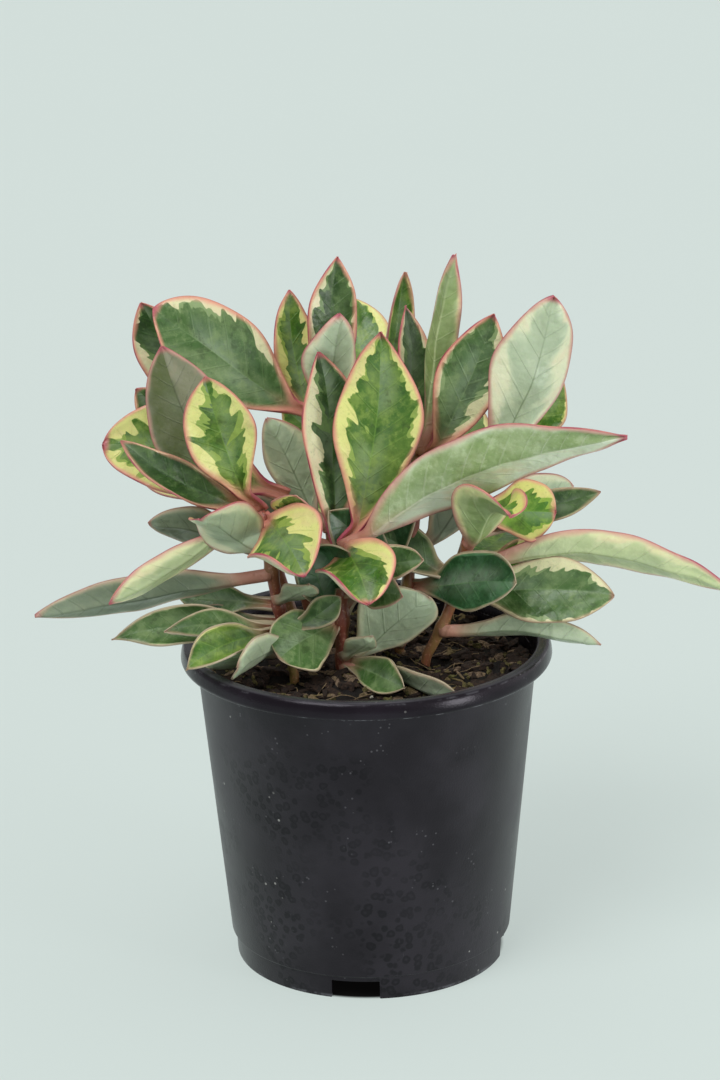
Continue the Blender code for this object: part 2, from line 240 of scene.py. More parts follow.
# Rolls of the left and right margin (degrees, towards the upper face), where along the leaf they
# are strongest, curl of the tip, twist over the whole length (degrees), sideways bow (share of
# length), how far out the widest point is (above 1: nearer the tip), how pointed the ends are
FORMS = {
    "front_tall": (12, 16, 0.5, -4, -6, 0.02, 1.2, 0.86),
    "tall_dark": (16, 20, 0.5, 0, 6, 0.03, 1.2, 0.8),
    "big_slanted": (12, -16, 0.55, 8, 4, -0.04, 1.25, 0.66),
    "yellow_left": (16, 16, 0.5, 0, -4, -0.03, 1.35, 0.8),
    "grey_left": (14, -16, 0.6, 6, 6, 0.02, 1.15, 0.8),
    "left_back": (30, 10, 0.6, -6, 4, 0.03, 1.2, 0.8),
    "left_side": (20, 30, 0.7, 10, 6, 0.04, 1.45, 0.56),
    "dark_blade": (50, 20, 0.5, -10, 4, -0.04, 1.0, 0.8),
    "curl_left": (60, 16, 0.6, -20, -14, 0.05, 1.5, 0.7),
    "pale_curl": (20, 60, 0.7, 20, -16, 0.04, 1.1, 0.5),
    "long_left": (30, 10, 0.5, 8, 4, 0.05, 1.0, 0.8),
    "yellow_wide": (8, 130, 0.85, 10, 6, 0.03, 1.1, 0.66),
    "front_droop": (8, 100, 0.85, 12, 0, 0.02, 1.15, 0.6),
    "long_right": (-10, 30, 0.4, -6, 8, -0.02, 0.9, 0.8),
    "far_right": (20, 40, 0.4, -6, 8, 0.05, 0.95, 0.8),
    "cupped": (70, 50, 0.7, 60, 0, 0.02, 1.4, 0.55),
    "right_wide": (12, 8, 0.5, 4, -2, -0.02, 1.15, 0.75),
    "low_right": (40, 16, 0.5, 6, 4, 0.03, 1.0, 0.8),
    "tall_tip": (60, 50, 0.5, -6, 6, 0.04, 1.0, 0.9),
    "thin_blade": (70, 50, 0.5, -8, 0, -0.04, 1.0, 0.9),
    "big_pale": (20, 12, 0.6, -6, -6, -0.03, 1.3, 0.74),
    "right_green": (20, 12, 0.5, -4, 6, 0.02, 1.2, 0.8),
    "dark_glossy": (10, 8, 0.5, 10, 0, 0.02, 1.3, 0.62),
    "pale_front": (16, 20, 0.6, 4, 4, 0.03, 1.5, 0.6),
    "pale_block": (10, 20, 0.6, 4, 4, 0.0, 1.4, 0.45),
    "green_round": (8, 10, 0.6, 10, 4, 0.0, 1.3, 0.5),
    "pale_top": (26, 10, 0.7, -6, 10, 0.03, 1.2, 0.8),
    "green_blade": (80, 60, 0.5, 6, 6, 0.03, 1.1, 1.1),
    "lower_left": (70, 60, 0.5, 6, 4, 0.03, 1.0, 1.2),
    "mid_left": (40, 30, 0.5, 4, 4, 0.03, 1.0, 1.1),
    "bright_right": (10, 20, 0.7, 10, 0, 0.02, 1.3, 0.55),
    "mid_leaf": (10, 40, 0.6, 10, 0, 0.02, 1.1, 0.7),
}

# Variegation: cream share of the left and right half, how deep the lobes cut, how pink the rim,
# upper tone, underside tone
PLAIN_HABIT = (0.24, 0.2, 0.8, 0.55, "fresh", "silver")
HABITS = {
    "front_tall": (0.33, 0.17, 0.8, 0.9, "fresh", "silver"),
    "tall_dark": (0.42, 0.10, 0.9, 0.9, "deep", "silver"),
    "long_right": (0.92, 0.03, 0.2, 0.9, "grey", "half"),
    "front_droop": (0.28, 0.20, 0.8, 1.0, "fresh", "silver"),
    "mid_leaf": (0.08, 0.10, 0.6, 0.4, "grey", "silver"),
    "small_green": (0.06, 0.08, 0.6, 0.45, "grey", "silver"),
    "dark_inner": (0.02, 0.02, 0.3, 0.2, "dark", "silver"),
    "green_round": (0.03, 0.05, 0.4, 0.3, "grey", "silver"),
    "yellow_left": (0.40, 0.36, 1.0, 0.8, "fresh", "silver"),
    "grey_left": (0.92, 0.03, 0.2, 0.8, "deep", "shade"),
    "dark_blade": (0.05, 0.08, 0.6, 0.6, "deep", "silver"),
    "yellow_wide": (0.44, 0.34, 1.0, 1.0, "fresh", "silver"),
    "curl_left": (0.35, 0.35, 0.6, 1.0, "fresh", "cream"),
    "pale_curl": (0.25, 0.25, 0.8, 0.7, "fresh", "silver"),
    "long_left": (0.08, 0.08, 0.6, 0.5, "grey", "dull"),
    "left_side": (0.34, 0.44, 1.2, 1.0, "fresh", "silver"),
    "left_sliver": (0.04, 0.04, 0.4, 0.2, "grey", "dull"),
    "big_slanted": (0.08, 0.20, 1.0, 1.0, "grey", "silver"),
    "dark_top": (0.34, 0.12, 1.0, 0.9, "deep", "silver"),
    "pale_top": (0.25, 0.25, 0.6, 1.0, "fresh", "silver"),
    "small_pointed": (0.30, 0.30, 1.0, 0.9, "fresh", "silver"),
    "left_back": (0.30, 0.16, 1.0, 0.9, "deep", "silver"),
    "round_left": (0.12, 0.10, 0.8, 0.8, "deep", "silver"),
    "right_green": (0.12, 0.32, 1.0, 1.0, "grey", "silver"),
    "olive_right": (0.30, 0.20, 0.6, 0.8, "deep", "olive"),
    "tall_tip": (0.20, 0.20, 0.6, 0.9, "grey", "olive"),
    "grey_brown": (0.20, 0.20, 0.8, 0.4, "fresh", "dull"),
    "dark_glossy": (0.02, 0.02, 0.3, 0.2, "dark", "dull"),
    "cupped": (0.30, 0.30, 0.8, 0.9, "bright", "olive"),
    "big_pale": (0.28, 0.30, 1.0, 1.0, "fresh", "silver"),
    "thin_dark": (0.04, 0.04, 0.5, 0.4, "deep", "dull"),
    "bright_right": (0.40, 0.16, 1.0, 0.8, "bright", "cream"),
    "far_right": (0.30, 0.30, 0.8, 1.0, "fresh", "cream"),
    "right_wide": (0.34, 0.10, 0.8, 0.4, "grey", "silver"),
    "lower_left": (0.06, 0.06, 0.6, 0.3, "grey", "silver"),
    "green_blade": (0.04, 0.06, 0.5, 0.3, "fresh", "silver"),
    "pale_block": (0.10, 0.10, 0.5, 0.35, "grey", "silver"),
    "pale_front": (0.10, 0.14, 0.5, 0.35, "grey", "silver"),
    "rim_green": (0.04, 0.05, 0.4, 0.25, "grey", "silver"),
    "rim_curled": (0.05, 0.05, 0.4, 0.25, "grey", "dull"),
    "second_sliver": (0.03, 0.03, 0.3, 0.2, "dark", "dull"),
    "mid_left": (0.04, 0.04, 0.4, 0.25, "grey", "silver"),
    "green_three": (0.03, 0.04, 0.3, 0.2, "deep", "silver"),
    "stem_fold": (0.05, 0.05, 0.3, 0.3, "deep", "dull"),
    "pale_three": (0.05, 0.05, 0.3, 0.25, "grey", "silver"),
    "round_sliver": (0.05, 0.05, 0.3, 0.2, "grey", "silver"),
    "pale_low": (0.05, 0.05, 0.3, 0.2, "grey", "silver"),
    "low_right": (0.12, 0.10, 0.4, 0.4, "grey", "silver"),
    # The heart leaves take the dark tone as painted shade, to darken the inside of the plant.
    "dark_heart": (0.03, 0.03, 0.3, 0.2, "dark", "dull"),
    "heart_back": (0.03, 0.03, 0.3, 0.2, "dark", "dull"),
    "heart_left": (0.03, 0.05, 0.3, 0.2, "dark", "dull"),
    "heart_right": (0.03, 0.05, 0.3, 0.2, "dark", "dull"),
    "olive_bar": (0.06, 0.05, 0.3, 0.5, "fresh", "dull"),
    "under_left": (0.10, 0.05, 0.3, 0.5, "fresh", "dull"),
    "upper_bit": (0.42, 0.30, 1.0, 0.9, "bright", "cream"),
}

# Colours of the blade: margin, lobes beside it, core, veins
TONES = {
    "fresh": ("#e3e28e", "#94ac52", "#3a6810", "#86ac4a"),
    "bright": ("#e2e183", "#96b846", "#42791a", "#86b442"),
    "deep": ("#e2dfb4", "#6c8850", "#264616", "#507a36"),
    "dark": ("#a8a384", "#4d7a50", "#1d4522", "#4f8040"),
    "grey": ("#e0ddb0", "#8aa06c", "#42662e", "#8aa670"),
    "silver": ("#e0e3c0", "#c3d0b0", "#a9bb9b", "#7a8c6b"),
    "dull": ("#c6c0a4", "#8f9b80", "#71806a", "#4f5c46"),
    "olive": ("#d9db9f", "#a3b581", "#7b934f", "#c2cf9c"),
    # The shade tone paints shade: grey_left's underside is grey on one half and dark olive on the
    # half that lies in shadow.
    "shade": ("#888a70", "#7b7f63", "#556229", "#3f4a30"),
    "half": ("#dde6cc", "#cddab2", "#76934a", "#e0e5cb"),
    "cream": ("#e3e3b2", "#ced8a8", "#b5c592", "#9dab7a"),
}
UNDERSIDES = ("silver", "dull", "olive", "cream", "half", "shade")

# The setting that a node's mode goes to
MODES = {"Math": "operation", "VectorMath": "operation", "Mix": "data_type",
         "MapRange": "interpolation_type", "Attribute": "attribute_name"}


def linear(hex_colour):
    """An sRGB hex colour as linear red, green, blue and alpha."""
    channels = [int(hex_colour[index:index + 2], 16) / 255 for index in (1, 3, 5)]
    return (*[c / 12.92 if c <= 0.04045 else ((c + 0.055) / 1.055) ** 2.4 for c in channels], 1)


def add_node(tree, kind, *values, out=0, **named):
    """Add a node, such as "Math SINE", fill its inputs in order or by name, and give an output.

    A second word is the node's mode, a hex string is a colour, and out="all" gives every output.
    """
    kind, _, mode = kind.partition(" ")
    node = tree.nodes.new("ShaderNode" + kind)
    if mode:
        setattr(node, MODES[kind], mode)
    inputs = [socket for socket in node.inputs if socket.enabled]
    outputs = [socket for socket in node.outputs if socket.enabled]
    filled = [(node.inputs[name], value) for name, value in named.items()]
    for socket, value in [*zip(inputs, values), *filled]:
        if isinstance(value, bpy.types.NodeSocket):
            tree.links.new(value, socket)
        else:
            socket.default_value = linear(value) if isinstance(value, str) else value
    return outputs if out == "all" else outputs[out]


def new_material(name, **constants):
    """A Principled material with the constants set on its own sockets."""
    mat = bpy.data.materials.new(name)
    mat.use_nodes = True
    shader = mat.node_tree.nodes["Principled BSDF"]
    for socket, value in constants.items():
        shader.inputs[socket.replace("_", " ")].default_value = value
    return mat, mat.node_tree, shader


# ---------------------------------------------------------------- materials

def leaf_skin(name, tone, under):
    """Waxy leaf skin: green lobes along the side veins, a cream margin and a salmon rim."""
    margin, lobes, core, veins = TONES[tone]
    mat, tree, shader = new_material(
        name, Roughness=0.42, Coat_Weight=0.1, Coat_Roughness=0.3, Subsurface_Weight=0.1,
        Subsurface_Scale=0.0015, Subsurface_Radius=(0.6, 1.0, 0.3), Specular_IOR_Level=0.4)
    add = partial(add_node, tree)
    share, across, _ = add("SeparateXYZ", add("Attribute blade", out=1), out="all")
    edge, rib, run = add("SeparateXYZ", add("Attribute reach", out=1), out="all")
    left, right, seed = add("SeparateXYZ", add("Attribute habit", out=1), out="all")
    jagged, pink, _ = add("SeparateXYZ", add("Attribute finish", out=1), out="all")
    away = add("Math ABSOLUTE", across)

    # Side veins leave the midrib at an acute angle; the lobes follow them, 3 to 8 mm apart.
    slant = add("Math MULTIPLY_ADD", rib, -0.95, run)
    half = add("Math GREATER_THAN", across, 0)
    sided = add("Math MULTIPLY_ADD", half, 31, seed)
    place = add("CombineXYZ", slant, sided, rib)

    def streaks(along, out, detail, rough=0.5, shift=0):
        """Noise drawn out along the side veins, as scales along them and outwards."""
        scaled = add("VectorMath MULTIPLY_ADD", place, (along, 1, out), (0, shift, 0))
        return add("TexNoise", scaled, Scale=1, Detail=detail, Roughness=rough)

    lobe = streaks(0.17, 0.05, 1.8)
    drift = streaks(0.06, 0.02, 1, shift=7)
    cream = add("Mix FLOAT", half, right, left)
    # Flattened at both ends, the waves read as rounded fingers.
    depth = 0.08 if under else 0.24
    finger = add("Math MULTIPLY_ADD", add("MapRange SMOOTHSTEP", lobe, 0.4, 0.6), depth, depth / -2)
    jag = add("Math MULTIPLY_ADD", add("Math SUBTRACT", lobe, 0.5), 2 * depth, finger)
    sway = add("Math MULTIPLY", add("Math SUBTRACT", drift, 0.5), 1.2)
    uneven = add("Math MULTIPLY", add("Math ADD", jag, sway), jagged)
    # The narrower a leaf's margin, the less its edge wanders; it widens towards the tip.
    free = add("MapRange LINEAR", cream, 0.0, 0.3, 0.2, 1)
    wander = add("Math MULTIPLY_ADD", uneven, free, cream)
    tipward = add("MapRange SMOOTHSTEP", share, 0.75, 1, 0, 0.25)
    wander = add("Math MULTIPLY_ADD", tipward, cream, wander)
    inside = add("Math SUBTRACT", add("Math SUBTRACT", 1, wander), away)
    # Paler green between margin and core, from nothing to a third of the half-width.
    paler = add("MapRange SMOOTHSTEP", streaks(0.13, 0.06, 2.5, shift=17), 0.45, 0.62)
    between = add("Math MULTIPLY", paler, add("Math MULTIPLY_ADD", cream, 0.7, 0.06))
    deeper = add("Math SUBTRACT", inside, between)
    # The colours meet sharply on the upper face, and softly underneath.
    if under:
        green = add("MapRange SMOOTHSTEP", inside, -0.05, 0.2, 0, 0.9)
        deep = add("MapRange SMOOTHSTEP", deeper, -0.05, 0.25, 0, 0.8)
    else:
        green = add("MapRange SMOOTHSTEP", inside, 0, 0.025)
        deep = add("MapRange SMOOTHSTEP", deeper, 0, 0.03)
    colour = add("Mix RGBA", deep, add("Mix RGBA", green, margin, lobes), core)

    # Paler feathers that run out along the veins, and broad clouds.
    feather = add("MapRange SMOOTHSTEP", streaks(0.3, 0.1, 3, 0.55, 29), 0.45, 0.75, 0, 0.3)
    cloud = streaks(0.05, 0.1, 2, shift=41)
    clouded = add("MapRange SMOOTHSTEP", cloud, 0.4, 0.7, 0, 0.4)
    # A blush on the cream margin.
    blush = add("MapRange SMOOTHSTEP", streaks(0.1, 0.1, 2, shift=53), 0.5, 0.75, 0, 0.35)
    fringe = add("Math SUBTRACT", 1, green)
    # Painted sheen: a pale haze beside the midrib, where the light catches the wax.
    painted_sheen = add("MapRange SMOOTHSTEP", streaks(0.035, 0.05, 2, shift=71), 0.42, 0.68, 0, 0.34)
    painted_sheen = add("Math MULTIPLY", painted_sheen, add("MapRange SMOOTHSTEP", away, 0.05, 0.75, 1, 0))
    # Flecks of about 1 mm, and blotches of up to 6 mm on the green, lighter and darker.
    spot = add("TexCoord", out=3)
    fleck = add("TexNoise", spot, Scale=700, Detail=3, Roughness=0.7)
    pale_fleck = add("MapRange SMOOTHSTEP", fleck, 0.55, 0.75, 0, 0.4)
    dark_fleck = add("MapRange SMOOTHSTEP", fleck, 0.25, 0.42, 0.22, 0)
    blotch = add("TexNoise", spot, Scale=160, Detail=4, Roughness=0.65)
    pale_blotch = add("MapRange SMOOTHSTEP", blotch, 0.5, 0.66, 0, 0.5)
    dark_blotch = add("MapRange SMOOTHSTEP", blotch, 0.32, 0.47, 0.45, 0)
    # The layer of #a9b8a2 beside the midrib is a painted highlight.
    for mask, where, shade in ((feather, deep, lobes), (clouded, deep, lobes),
                               (blush, fringe, "#e6bfa0"), (painted_sheen, deep, "#a9b8a2"),
                               (pale_fleck, 1, lobes), (dark_fleck, 1, core),
                               (pale_blotch, deep, lobes),
                               (dark_blotch, deep, core if under else "#1f3312")):
        colour = add("Mix RGBA", add("Math MULTIPLY", mask, where), colour, shade)

    # Midrib, and hair-thin side veins.
    line = add("MapRange SMOOTHSTEP", rib, 0.1, 0.45, 0.7 if under else 0.3, 0)
    line = add("Math MULTIPLY", line, add("MapRange SMOOTHSTEP", share, 0.5, 0.95, 1, 0.2))
    colour = add("Mix RGBA", line, colour, veins)
    bow = add("Math MULTIPLY_ADD", add("Math SUBTRACT", lobe, 0.5), 3, slant)
    wave = add("Math SINE", add("Math MULTIPLY", bow, 0.78))
    branch = add("MapRange SMOOTHSTEP", wave, 0.92, 1, 0, 0.16)
    branch = add("Math MULTIPLY", branch, add("MapRange SMOOTHSTEP", away, 0.5, 0.95, 1, 0))
    colour = add("Mix RGBA", branch, colour, veins)

    # Salmon rim of 1 to 2 mm, crimson at the very edge and at the tip.
    vary = streaks(0.06, 0.0, 2, shift=61)
    spread = add("MapRange SMOOTHSTEP", share, 0.05, 0.55, 3.1, 1.6)
    spread = add("Math MULTIPLY", spread, add("MapRange SMOOTHSTEP", vary, 0.35, 0.65, 0.75, 1.35))
    spread = add("Math MULTIPLY", spread, add("MapRange LINEAR", pink, 0, 1, 0.5, 1.15))
    near = add("Math DIVIDE", edge, spread)
    rim = add("Math MULTIPLY", add("MapRange SMOOTHSTEP", near, 0.1, 1.15, 0.95, 0),
              add("MapRange LINEAR", pink, 0, 1, 0.45, 1))
    fresh = add("MapRange SMOOTHSTEP", pink, 0.3, 0.75)
    salmon = add("Mix RGBA", fresh, "#b7a384", "#d09a8c" if under else "#e29c86")
    colour = add("Mix RGBA", rim, colour, salmon)
    hem = add("MapRange SMOOTHSTEP", edge, 0.0, 0.5, 0.65, 0)
    crimson = add("Mix RGBA", fresh, "#8b6f5c", "#a84a62" if under else "#c4766a")
    colour = add("Mix RGBA", hem, colour, crimson)
    tip = add("Math MULTIPLY", add("MapRange SMOOTHSTEP", share, 0.955, 0.99, 0, 0.75), pink)
    colour = add("Mix RGBA", tip, colour, "#b04a62")

    # The stalk is red-brown, and its colour runs up into the foot of the midrib.
    stalk = add("MapRange SMOOTHSTEP", share, 0.05, 0.17, 0.8, 0)
    tongue = add("Math MULTIPLY_ADD", rib, 0.03, share)
    flush = add("Math MAXIMUM", stalk, add("MapRange SMOOTHSTEP", tongue, 0.1, 0.3, 0.35, 0))
    colour = add("Mix RGBA", flush, colour, add("Mix RGBA", vary, "#a0604c", "#cf9080"))
    tree.links.new(colour, shader.inputs["Base Color"])

    # Waxy grain of about 0.4 mm, veins pressed in, and soft quilting 5 mm across.
    gloss = add("MapRange SMOOTHSTEP", cloud, 0.35, 0.65, 0.34, 0.5)
    tree.links.new(gloss, shader.inputs["Roughness"])
    grain = add("TexNoise", spot, Scale=1300, Detail=2)
    quilt = add("TexNoise", spot, Scale=150, Detail=2)
    relief = add("Math MULTIPLY_ADD", grain, 0.14, add("Math MULTIPLY_ADD", quilt, 1.5, branch))
    bump = add("Bump", Height=relief, Strength=0.75, Distance=0.0011)
    tree.links.new(bump, shader.inputs["Normal"])
    return mat


def leaf_hem():
    """The edge of a leaf: salmon to crimson on young leaves, pale and dry on low ones."""
    mat, tree, shader = new_material("leaf_hem", Roughness=0.42)
    add = partial(add_node, tree)
    place = add("TexCoord", out=3)
    patches = add("TexNoise", place, Scale=90, Detail=2)
    colour = add("Mix RGBA", add("MapRange SMOOTHSTEP", patches, 0.4, 0.62), "#cf8575", "#a94459")
    _, pink, _ = add("SeparateXYZ", add("Attribute finish", out=1), out="all")
    colour = add("Mix RGBA", add("MapRange SMOOTHSTEP", pink, 0.3, 0.7), "#b3a58a", colour)
    tree.links.new(colour, shader.inputs["Base Color"])
    return mat


def stem_skin():
    """Fleshy stem: red-brown, greener in places, smooth and waxy."""
    mat, tree, shader = new_material("fleshy_stem", Roughness=0.38, Subsurface_Weight=0.1,
                                     Subsurface_Scale=0.002, Coat_Weight=0.15)
    add = partial(add_node, tree)
    place = add("TexCoord", out=3)
    streak = add("Mapping", place, Scale=(90, 90, 28))
    patches = add("TexNoise", streak, Scale=1, Detail=3)
    ramp = add("MapRange LINEAR", patches, 0.4, 0.65)
    colour = add("Mix RGBA", ramp, "#8a4a3c", "#8b7a45")
    flecks = add("TexNoise", place, Scale=900, Detail=1)
    fleck = add("MapRange LINEAR", flecks, 0.6, 0.68, 0, 0.5)
    colour = add("Mix RGBA", fleck, colour, "#c08a70")
    tree.links.new(colour, shader.inputs["Base Color"])
    bump = add("Bump", Height=patches, Strength=0.3, Distance=0.0004)
    tree.links.new(bump, shader.inputs["Normal"])
    return mat


def pot_plastic():
    """Injection-moulded recycled polypropylene: black, satin, with dried water rings, chalky
    lines at its edges, scuffs and grit."""
    mat, tree, shader = new_material("moulded_black_polypropylene",
                                     Specular_Tint=(0.94, 0.9, 1, 1))
    add = partial(add_node, tree)
    place = add("TexCoord", out=3)
    height = add("SeparateXYZ", place, out=2)
    cloud = add("TexNoise", place, Scale=28, Detail=4)
    haze = add("MapRange SMOOTHSTEP", cloud, 0.35, 0.7)
    colour = add("Mix RGBA", haze, "#130e14", "#1d171f")
    # Dried drops: dark rings 2 to 4 mm across, in patches.
    wobble = add("TexNoise", place, Scale=260, Detail=2, out=1)
    warped = add("VectorMath MULTIPLY_ADD", wobble, (0.0022, 0.0022, 0.0022), place)
    cells = add("TexVoronoi", warped, Scale=270)
    ring = add("Math MULTIPLY", add("MapRange SMOOTHSTEP", cells, 0.0, 0.34, 0.3, 1),
               add("MapRange SMOOTHSTEP", cells, 0.36, 0.56, 1, 0))
    wet = add("TexNoise", place, Scale=22, Detail=2)
    # Most of them sit low down, on the side that was watered.
    watered = add("VectorMath DOT_PRODUCT", place, (-0.75, -0.66, -0.6))
    splashed = add("Math MULTIPLY", add("MapRange SMOOTHSTEP", watered, -0.02, 0.02),
                   add("MapRange SMOOTHSTEP", wet, 0.4, 0.55))
    zone = add("Math MAXIMUM", add("MapRange SMOOTHSTEP", wet, 0.56, 0.66, 0, 0.7), splashed)
    damp = add("Math MULTIPLY", ring, zone)
    colour = add("Mix RGBA", add("Math MULTIPLY", damp, 0.8), colour, "#08070a")
    # Upright scuffs, 10 mm long and 0.3 mm wide.
    drawn = add("Mapping", place, Scale=(900, 900, 60))
    scuffs = add("TexNoise", drawn, Scale=1, Detail=2)
    scuff = add("Math MULTIPLY", add("MapRange SMOOTHSTEP", scuffs, 0.7, 0.76, 0, 0.35),
                add("MapRange SMOOTHSTEP", cloud, 0.5, 0.6))
    colour = add("Mix RGBA", scuff, colour, "#4a484c")
    # Grit of about 0.4 mm, and dust of 0.2 mm, a few grains in a square centimetre.
    for scale, size, share, shade in ((170, 0.06, 0.6, "#b9b7b2"), (420, 0.12, 0.35, "#77757a")):
        grains = add("TexVoronoi", place, Scale=scale)
        patch = add("TexNoise", place, Scale=scale / 5, Detail=1)
        grit = add("Math MULTIPLY", add("MapRange SMOOTHSTEP", grains, size, size * 1.7, share, 0),
                   add("MapRange SMOOTHSTEP", patch, 0.6, 0.66))
        colour = add("Mix RGBA", grit, colour, shade)
    # Dust on top of the rim, with painted light: the top is made a lighter grey where it faces the
    # lamps.
    top = add("MapRange SMOOTHSTEP", height, POT_HEIGHT - 0.7 * MM, POT_HEIGHT - 0.1 * MM, 0, 0.8)
    lit_top_and_dust = add("Math MULTIPLY", top, add("MapRange SMOOTHSTEP", cloud, 0.3, 0.6, 0.5, 1))
    colour = add("Mix RGBA", lit_top_and_dust, colour, "#4d4c52")
    # Chalk left under the rim band, above the skirt and at the foot, and a faint pale line along
    # the rounded upper edge of the rim.
    crumbs = add("TexNoise", place, Scale=130, Detail=4, Roughness=0.7)
    for line, wide, strong in ((RIM_FOOT + 0.2 * MM, 0.35 * MM, 0.4),
                               (SKIRT_HEIGHT + 0.4 * MM, 0.45 * MM, 0.3),
                               (POT_HEIGHT - 0.9 * MM, 0.5 * MM, 0.12), (0.8 * MM, 0.9 * MM, 0.2)):
        off = add("Math ABSOLUTE", add("Math SUBTRACT", height, line))
        chalk = add("Math MULTIPLY", add("MapRange SMOOTHSTEP", off, 0, wide, strong, 0),
                    add("MapRange SMOOTHSTEP", crumbs, 0.48, 0.62))
        colour = add("Mix RGBA", chalk, colour, "#a5a5ad")
    tree.links.new(colour, shader.inputs["Base Color"])
    # The rim was handled and is polished; dried rings take the sheen away.
    rim = add("MapRange SMOOTHSTEP", height, RIM_FOOT - 0.6 * MM, RIM_FOOT)
    gloss = add("Mix FLOAT", rim, add("MapRange SMOOTHSTEP", cloud, 0.3, 0.7, 0.3, 0.44), 0.22)
    tree.links.new(gloss, shader.inputs["Roughness"])
    sheen = add("MapRange SMOOTHSTEP", cloud, 0.35, 0.65, 0.3, 0.44)
    sheen = add("Math MULTIPLY", sheen, add("MapRange SMOOTHSTEP", damp, 0, 1, 1, 0.74))
    sheen = add("Math MULTIPLY", sheen, add("MapRange SMOOTHSTEP", rim, 0, 1, 1, 0.7))
    tree.links.new(sheen, shader.inputs["Specular IOR Level"])
    # Moulding grain of about 0.5 mm over a slightly uneven wall.
    grain = add("TexNoise", place, Scale=1500, Detail=2)
    uneven = add("TexNoise", place, Scale=70, Detail=1)
    relief = add("Math MULTIPLY_ADD", uneven, 3, add("Math MULTIPLY_ADD", damp, 0.5, grain))
    bump = add("Bump", Height=relief, Strength=0.14, Distance=0.0004)
    tree.links.new(bump, shader.inputs["Normal"])
    return mat


def loose_matter(name, dark, light, accent, size, rough):
    """Crumbly matter that goes from dark to light, with patches of an accent colour."""
    mat, tree, shader = new_material(name, Roughness=rough)
    add = partial(add_node, tree)
    place = add("TexCoord", out=3)
    crumbs = add("TexNoise", place, Scale=1 / size, Detail=5, Roughness=0.7)
    ramp = add("MapRange LINEAR", crumbs, 0.35, 0.7)
    colour = add("Mix RGBA", ramp, dark, light)
    wide = add("TexNoise", place, Scale=75, Detail=2)
    patch = add("MapRange LINEAR", wide, 0.52, 0.64, 0, 0.7)
    colour = add("Mix RGBA", patch, colour, accent)
    tree.links.new(colour, shader.inputs["Base Color"])
    bump = add("Bump", Height=crumbs, Strength=0.8, Distance=size)
    tree.links.new(bump, shader.inputs["Normal"])
    return mat


# ---------------------------------------------------------------- modelling helpers

def start(primitive, name, **settings):
    """Add a primitive with nothing else selected, and enter edit mode."""
    bpy.ops.object.select_all(action="DESELECT")
    primitive(**settings)
    obj = bpy.context.object
    obj.name = name
    obj.data.name = name
    bpy.ops.object.mode_set(mode="EDIT")
    return obj


def pick(*objects):
    """Select these objects only, and make the first one active."""
    bpy.ops.object.select_all(action="DESELECT")
    for obj in objects:
        obj.select_set(True)
    bpy.context.view_layer.objects.active = objects[0]


def settle_down(obj, mat):
    """Leave edit mode, put the piece's place in its mesh and give it its material."""
    bpy.ops.object.mode_set(mode="OBJECT")
    pick(obj)
    bpy.ops.object.transform_apply(location=True, rotation=True, scale=True)
    if mat:
        obj.data.materials.append(mat)
    return obj


def finish_modifiers(obj):
    """Apply all of a piece's modifiers, in their order."""
    pick(obj)
    for modifier in list(obj.modifiers):
        bpy.ops.object.modifier_apply(modifier=modifier.name)


def own(obj, node):
    """The piece moves with the plant and stands for a node of the model."""
    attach(obj, "root")
    if node:
        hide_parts(node)


def direction(heading, rise):
    """The way that points along a heading and rises by an angle, both in degrees."""
    h, r = math.radians(heading), math.radians(rise)
    return Vector((math.cos(h) * math.cos(r), math.sin(h) * math.cos(r), math.sin(r)))


def smooth(low, high, value):
    """0 below low, 1 above high, an even curve between."""
    t = min(max((value - low) / (high - low), 0), 1)
    return t * t * (3 - 2 * t)


def mix_height(radius):
    """Height of the mix, which falls a little towards the wall."""
    return MIX_CENTRE - MIX_FALL * (radius / SHOULDER_RADIUS) ** 2


# ---------------------------------------------------------------- stems

def stem_point(stem, place):
    """Point and direction at a place from 0 to 1 up a stem, whose lean changes evenly."""
    x, y, heading, lean_foot, lean_top, length, thickness = STEMS[stem]
    dip = thickness / 2 * MM * math.sin(math.radians(lean_foot))
    point = Vector((x * MM, y * MM, mix_height(math.hypot(x, y) * MM) + GAP * 1.5 + dip))
    for index in range(round(STEM_STEPS * place)):
        lean = lean_foot + (lean_top - lean_foot) * (index + 0.5) / STEM_STEPS
        point += direction(heading, 90 - lean) * (length * MM / STEM_STEPS)
    return point, direction(heading, 90 - (lean_foot + (lean_top - lean_foot) * place))


def stem_blank():
    """A round bar one unit long and one unit in radius, drawn up ring by ring."""
    rings = 48
    obj = start(bpy.ops.mesh.primitive_circle_add, "stem_blank", vertices=20, radius=1,
                fill_type="NGON")
    for _ in range(rings):
        bpy.ops.mesh.extrude_region_move(TRANSFORM_OT_translate={"value": (0, 0, 1 / rings)})
    bpy.ops.mesh.select_all(action="SELECT")
    bpy.ops.mesh.normals_make_consistent(inside=False)
    settle_down(obj, None)
    bpy.ops.object.shade_smooth_by_angle(angle=math.radians(50))
    return obj


